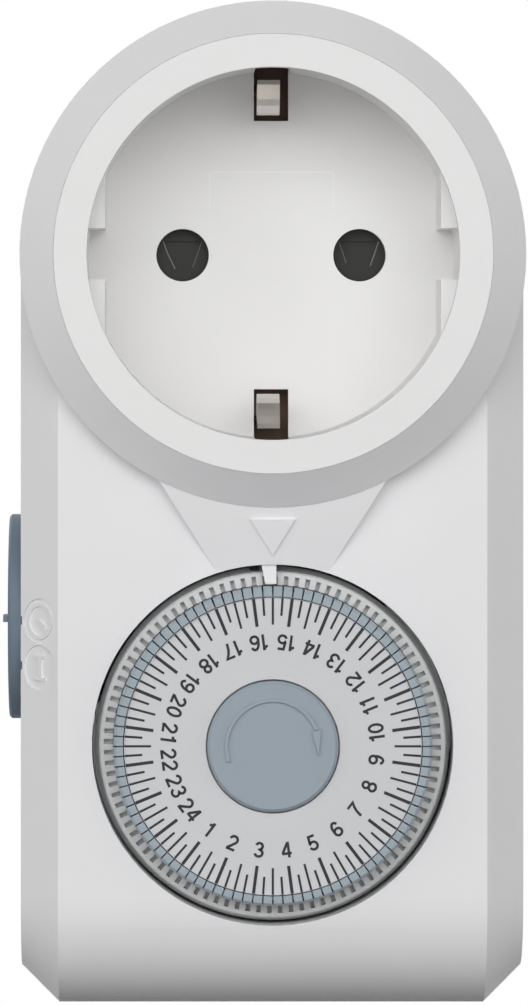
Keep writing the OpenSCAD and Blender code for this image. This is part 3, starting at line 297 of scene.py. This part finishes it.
# The print is thin and starts a hair inside the dial's face; topHour is the hour at the very top
dialPrint = {
    "color": (0.038, 0.035, 0.038), "roughness": 0.55, "gloss": 0.15, "grainDepth": 0.0,
    "centreZ": -51.9, "frontY": -38.0, "thickness": 0.016, "sunk": 0.002,
    "hours": 24, "topHour": 15.5, "ticksPerHour": 4,
    "rim": 15.66, "hourIn": 12.70, "halfIn": 12.83, "quarterIn": 13.78,
    "hourWidth": 0.34, "halfWidth": 0.24, "quarterWidth": 0.24,
}
figurePrint = {
    "radius": 11.0, "height": 1.68, "stroke": 0.28, "pitch": 0.74,
    "digitWidth": 0.66, "oneWidth": 0.48,  # in heights, as the pitch is
    "layerStep": 0.001,  # each stroke stands this much above the last, so that crossings stay clean
    "sharpestMitre": 0.55, "closedWithin": 1e-6,
    "bowStep": 12, "fewestBowSteps": 4,  # degrees in a step of a bow, and its least number of steps
}
towardViewer = Vector((0, -1, 0))


def clockwise(degrees):
    turn = math.radians(degrees)
    return Vector((math.sin(turn), 0, math.cos(turn)))


def makeTicks(settings, material):
    verts, faces = [], []
    centre = Vector((0, 0, settings["centreZ"]))
    outer = settings["rim"]
    yFront = settings["frontY"] - settings["thickness"]
    yBack = settings["frontY"] + settings["sunk"]
    perHour = settings["ticksPerHour"]
    count = settings["hours"] * perHour
    for tick in range(count):
        if tick % perHour == perHour // 2:  # full hours, because the first tick is at a half hour
            inner, width = settings["hourIn"], settings["hourWidth"]
        elif tick % perHour == 0:
            inner, width = settings["halfIn"], settings["halfWidth"]
        else:
            inner, width = settings["quarterIn"], settings["quarterWidth"]
        turn = tick * 360 / count
        out, side = clockwise(turn), clockwise(turn + 90)
        corners = [(centre + out * radius + side * sign * width / 2).xz
                   for radius, sign in ((inner, -1), (inner, 1), (outer, 1), (outer, -1))]
        addBox(verts, faces, corners, yFront, yBack)
    return meshPiece("dial_ticks", verts, faces, material)


def bow(x, y, rx, ry, start, stop):
    steps = max(figurePrint["fewestBowSteps"], int(abs(stop - start) / figurePrint["bowStep"]))
    angles = [math.radians(start + (stop - start) * i / steps) for i in range(steps + 1)]
    return [(x + rx * math.cos(a), y + ry * math.sin(a)) for a in angles]


# Each digit's strokes, in a box as wide as digitWidth and 1 high
digitStrokes = {
    "0": [bow(0.33, 0.5, 0.235, 0.425, 0, 360)],
    "1": [[(0.34, 0.0), (0.34, 1.0)], [(0.09, 0.755), (0.20, 0.775), (0.28, 0.83), (0.32, 0.94)]],
    "2": [bow(0.325, 0.69, 0.235, 0.235, 172, -28)
          + [(0.30, 0.32), (0.11, 0.13), (0.11, 0.075), (0.59, 0.075)]],
    "3": [bow(0.315, 0.72, 0.205, 0.205, 165, -80) + bow(0.315, 0.295, 0.24, 0.22, 75, -168)],
    "4": [[(0.46, 0.0), (0.46, 1.0)], [(0.43, 0.94), (0.07, 0.30)], [(0.02, 0.265), (0.63, 0.265)]],
    "5": [[(0.56, 0.925), (0.19, 0.925), (0.13, 0.50)] + bow(0.32, 0.315, 0.24, 0.24, 138, -165)],
    "6": [bow(0.335, 0.30, 0.235, 0.225, 0, 360), bow(0.345, 0.5, 0.245, 0.425, 205, 38)],
    "7": [[(0.06, 0.925), (0.58, 0.925), (0.42, 0.68), (0.31, 0.40), (0.25, 0.0)]],
    "8": [bow(0.33, 0.725, 0.20, 0.20, 0, 360), bow(0.33, 0.295, 0.24, 0.22, 0, 360)],
}
digitStrokes["9"] = [[(figurePrint["digitWidth"] - x, 1 - y) for x, y in stroke]
                     for stroke in digitStrokes["6"]]


# The two sides of a stroke, mitred at its corners
def strokeSides(points, width):
    closed = math.dist(points[0], points[-1]) < figurePrint["closedWithin"]
    path = [Vector(point) for point in (points[:-1] if closed else points)]
    count = len(path)
    sides = []
    for i, point in enumerate(path):
        before = path[i - 1] if closed or i > 0 else None
        after = path[(i + 1) % count] if closed or i < count - 1 else None
        ahead = (after - point).normalized() if after is not None else (point - before).normalized()
        behind = (point - before).normalized() if before is not None else ahead
        along = (ahead + behind).normalized()
        mitre = max(figurePrint["sharpestMitre"], along.dot(ahead))
        across = Vector((-along.y, along.x)) * width / 2 / mitre
        sides.append((point + across, point - across))
    return sides, closed


def makeFigure(hour, settings, dial, material):
    out = clockwise((dial["topHour"] - hour) * 360 / dial["hours"])
    up = -out
    right = up.cross(towardViewer)
    middle = Vector((0, dial["frontY"], dial["centreZ"])) + out * settings["radius"]
    text = str(hour)
    widths = [settings["oneWidth"] if digit == "1" else settings["digitWidth"] for digit in text]
    gap = settings["pitch"] - settings["digitWidth"]
    left = -(sum(widths) + gap * (len(text) - 1)) / 2
    sunk = -dial["sunk"]
    verts, faces = [], []
    layer = 0
    for digit, width in zip(text, widths):
        for points in digitStrokes[digit]:
            sides, closed = strokeSides(points, settings["stroke"] / settings["height"])
            proud = dial["thickness"] + settings["layerStep"] * layer
            layer += 1
            first, count = len(verts), len(sides)
            for a, b in sides:  # four corners at each point of the stroke
                for (x, y), lift in ((a, proud), (b, proud), (b, sunk), (a, sunk)):
                    flat = middle + (right * (left + x) + up * (y - 0.5)) * settings["height"]
                    verts.append((flat.x * mm, (flat.y - lift) * mm, flat.z * mm))
            for i in range(count if closed else count - 1):
                here, there = first + 4 * i, first + 4 * ((i + 1) % count)
                for k in range(4):
                    n = (k + 1) % 4
                    faces.append([here + k, here + n, there + n, there + k])
            if not closed:
                faces.append([first + 3, first + 2, first + 1, first])
                faces.append([first + 4 * (count - 1) + k for k in range(4)])
        left += width + gap
    return meshPiece("dial_figure_%02d" % hour, verts, faces, material)


ink = mouldedPlastic("printInk", dialPrint)
printPieces = [makeTicks(dialPrint, ink)]
for hour in range(1, dialPrint["hours"] + 1):
    printPieces.append(makeFigure(hour, figurePrint, dialPrint, ink))
for piece in printPieces:
    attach(piece, "dial")
print("dial print:", len(printPieces), "pieces")


# A straight bar from start to end in x and z
def addBar(verts, faces, start, end, width, yFront, yBack):
    a, b = Vector(start), Vector(end)
    side = Vector((-(b - a).y, (b - a).x)).normalized() * width / 2
    addBox(verts, faces, (a - side, a + side, b + side, b - side), yFront, yBack)


# The moulded edges in the shutter's two tapered pockets, each from one end to the other in x and z;
# their grey is a painted highlight, brighter on the outer edges
shutterEdges = {
    "frontY": -22.1, "proud": 0.02, "depth": 0.25, "width": 0.12, "roughness": 0.5,
    "outer": {
        "color": (0.15, 0.15, 0.145),
        "lines": [((-11.58, 1.50), (-11.10, 0.20)), ((-11.10, 0.20), (-10.30, -1.45)),
                  ((11.62, 1.50), (10.70, -1.15))],
    },
    "inner": {
        "color": (0.065, 0.065, 0.062),
        "lines": [((-7.42, 1.50), (-8.42, -1.30)), ((7.38, 1.40), (8.10, -0.80))],
    },
}


def makeShutterEdges(side, settings):
    verts, faces = [], []
    for start, end in settings[side]["lines"]:
        addBar(verts, faces, start, end, settings["width"],
               settings["frontY"] - settings["proud"], settings["frontY"] + settings["depth"])
    look = {"color": settings[side]["color"], "roughness": settings["roughness"]}
    # A lighter black for the edges: painted highlight
    paintedHighlight = mouldedPlastic("wornBlack_" + side, look)
    return meshPiece("shutter_edges_" + side, verts, faces, paintedHighlight)


for side in ("outer", "inner"):
    edgePiece = makeShutterEdges(side, shutterEdges)
    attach(edgePiece, "shutter_body")
print("shutter edges ready")


# The empty moulded field on the socket's floor, drawn by its thin raised edge; the edge's whiter
# colour is a painted highlight
floorField = {
    "frontY": -24.3, "proud": 0.04, "sunk": 0.02, "width": 0.16,
    "low": (-6.6, 5.1), "high": (6.7, 8.9),
    "color": (0.85, 0.85, 0.855), "roughness": 0.5,
}


def makeFloorField(settings):
    verts, faces = [], []
    (x0, z0), (x1, z1) = settings["low"], settings["high"]
    for start, end in (((x0, z0), (x0, z1)), ((x0, z1), (x1, z1)), ((x1, z1), (x1, z0))):
        addBar(verts, faces, start, end, settings["width"],
               settings["frontY"] - settings["proud"], settings["frontY"] + settings["sunk"])
    return meshPiece("floor_field", verts, faces, mouldedPlastic("edgeWhite", settings))


fieldPiece = makeFloorField(floorField)
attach(fieldPiece, "housing")
print("floor field ready")


# The shutter's spring is held at its lower end; here it is a copy of its node's mesh, fixed to the
# housing
shutterCoil = {
    "node": "shutter_spring", "finish": "springSteel", "seatY": -21.2, "seatZ": -12.9, "keep": 0.27,
}


def makeShutterCoil(settings):
    coil = addObject("shutter_coil", nodes[settings["node"]].data.copy())
    coil.data.materials.clear()
    coil.data.materials.append(bpy.data.materials[settings["finish"]])
    return coil


coilPiece = makeShutterCoil(shutterCoil)
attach(coilPiece, "housing")
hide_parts(shutterCoil["node"])
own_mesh(coilPiece)
print("shutter coil ready")


studio = {
    "floorDrop": 250, "floorSize": 1600, "floorColor": (0.82, 0.82, 0.82),
    "floorRoughness": 0.8, "floorGloss": 0.1, "floorBounce": (0.15, 0.15, 0.15),
    "worldColor": (1, 1, 1), "worldLight": 0.021,
}


def mixInto(tree, out, factor, without, withFactor):
    mix = tree.nodes.new("ShaderNodeMixShader")
    tree.links.new(factor, mix.inputs["Fac"])
    tree.links.new(without.outputs[0], mix.inputs[1])
    tree.links.new(withFactor.outputs[0], mix.inputs[2])
    tree.links.new(mix.outputs[0], out.inputs["Surface"])


def makeFloor(settings):
    half = settings["floorSize"] / 2 * mm
    z = -settings["floorDrop"] * mm
    material, tree, shader = newMaterial("paleFloor")
    shader.inputs["Base Color"].default_value = (*settings["floorColor"], 1)
    shader.inputs["Roughness"].default_value = settings["floorRoughness"]
    shader.inputs["Specular IOR Level"].default_value = settings["floorGloss"]
    # Pale to the eye, and darker where it would throw light up at the object
    dull = tree.nodes.new("ShaderNodeBsdfDiffuse")
    dull.inputs["Color"].default_value = (*settings["floorBounce"], 1)
    path = tree.nodes.new("ShaderNodeLightPath")
    mixInto(tree, tree.nodes["Material Output"], path.outputs["Is Diffuse Ray"], shader, dull)
    corners = [(-half, -half, z), (half, -half, z), (half, half, z), (-half, half, z)]
    floor = meshPiece("floor", corners, [(0, 1, 2, 3)], material)


# White to the eye and in reflections, and a weak even light on the object
def makeWorld(settings):
    world = bpy.data.worlds.new("softRoom")
    bpy.context.scene.world = world
    world.use_nodes = True
    tree = world.node_tree
    tree.nodes.clear()
    out = tree.nodes.new("ShaderNodeOutputWorld")
    lit = tree.nodes.new("ShaderNodeBackground")
    lit.inputs["Color"].default_value = (*settings["worldColor"], 1)
    lit.inputs["Strength"].default_value = settings["worldLight"]
    white = tree.nodes.new("ShaderNodeBackground")
    white.inputs["Color"].default_value = (*settings["worldColor"], 1)
    path = tree.nodes.new("ShaderNodeLightPath")
    seen = path.outputs["Is Camera Ray"]
    for ray in ("Is Transmission Ray", "Is Glossy Ray"):
        either = tree.nodes.new("ShaderNodeMath")
        either.operation = "MAXIMUM"
        tree.links.new(seen, either.inputs[0])
        tree.links.new(path.outputs[ray], either.inputs[1])
        seen = either.outputs[0]
    mixInto(tree, out, seen, lit, white)


# Each lamp: where it stands, what it points at, its width and height in mm, and its power in watts
onFront, onMiddle = (0, -20, -20), (0, 0, -20)
lamps = {
    "wideSoftbox": {"at": (-100, -950, 350), "aim": onFront, "size": (1600, 500), "power": 7.2},
    "frontFill": {"at": (0, -1150, 0), "aim": onFront, "size": (1500, 900), "power": 4.47},
    "leftFill": {"at": (-900, -500, 60), "aim": onFront, "size": (500, 700), "power": 1.56},
    "rightFill": {"at": (900, -500, 60), "aim": onFront, "size": (500, 700), "power": 1.52},
    "leftBackSoftbox": {"at": (-580, 660, 60), "aim": onMiddle, "size": (400, 700), "power": 3.7},
    "rightBackSoftbox": {"at": (580, 660, 60), "aim": onMiddle, "size": (400, 700), "power": 3.7},
    "topBackSoftbox": {"at": (0, 650, 620), "aim": onMiddle, "size": (700, 400), "power": 2.75},
}


def addLamp(name, settings):
    light = bpy.data.lights.new(name, "AREA")
    light.shape = "RECTANGLE"
    light.size, light.size_y = (length * mm for length in settings["size"])
    light.energy = settings["power"]
    lamp = addObject(name, light)
    lamp.location = Vector(settings["at"]) * mm
    sight = Vector(settings["aim"]) * mm - Vector(settings["at"]) * mm
    lamp.rotation_euler = sight.to_track_quat("-Z", "Y").to_euler()


# The camera stands square to the front, so that its circles stay round; lengths are in mm, and the
# pixel is where a point straight ahead of the camera falls in the frame
cameraSettings = {
    "at": (-10.1, -760.1, -7.5), "focal": 245.45, "sensor": 36,
    "frameSize": (528, 1005), "centrePixel": (177.0, 325.0),
    "near": 50, "far": 20000,
}


def addCamera(settings):
    data = bpy.data.cameras.new("frontCamera")
    data.sensor_width = settings["sensor"]
    data.lens = settings["focal"]
    wide, high = settings["frameSize"]
    across, down = settings["centrePixel"]
    data.shift_x = (wide / 2 - across) / high
    data.shift_y = (down - high / 2) / high
    data.clip_start, data.clip_end = settings["near"] * mm, settings["far"] * mm
    camera = addObject("frontCamera", data)
    camera.location = Vector(settings["at"]) * mm
    camera.rotation_euler = (math.pi / 2, 0, 0)
    bpy.context.scene.camera = camera


makeFloor(studio)
makeWorld(studio)
for lampName, settings in lamps.items():
    addLamp(lampName, settings)
addCamera(cameraSettings)
bpy.context.scene.view_settings.view_transform = "Standard"
print("studio ready")
